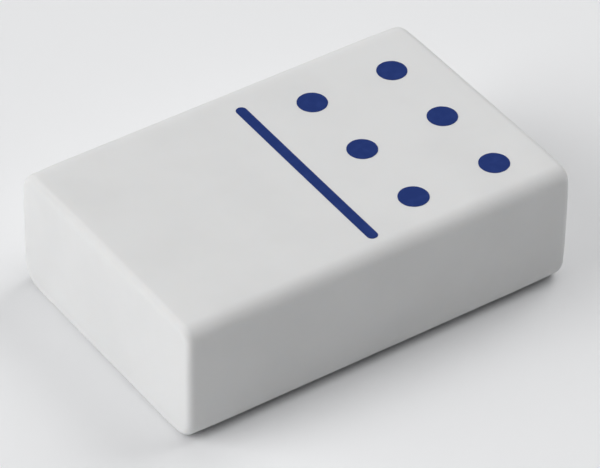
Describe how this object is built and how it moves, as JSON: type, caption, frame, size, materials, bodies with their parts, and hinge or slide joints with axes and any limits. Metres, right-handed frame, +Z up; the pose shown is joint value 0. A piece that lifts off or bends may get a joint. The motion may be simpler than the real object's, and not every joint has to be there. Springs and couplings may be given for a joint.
{
  "type": "rubber eraser",
  "caption": "Small rectangular white eraser with soft long edges, printed on top like one half of a domino: a dividing line and round pips.",
  "frame": {"origin": "middle of the underside", "axes": "+X along the block towards the half with the pips, +Z up out of the printed face"},
  "size_m": [0.033, 0.022, 0.0103],
  "materials": {
    "white_rubber": "matt",
    "blue_ink": "matt"
  },
  "bodies": {
    "root": {"eraser_block": "white_rubber", "printed_pips": "blue_ink", "printed_divider": "blue_ink"}
  },
  "joints": []
}
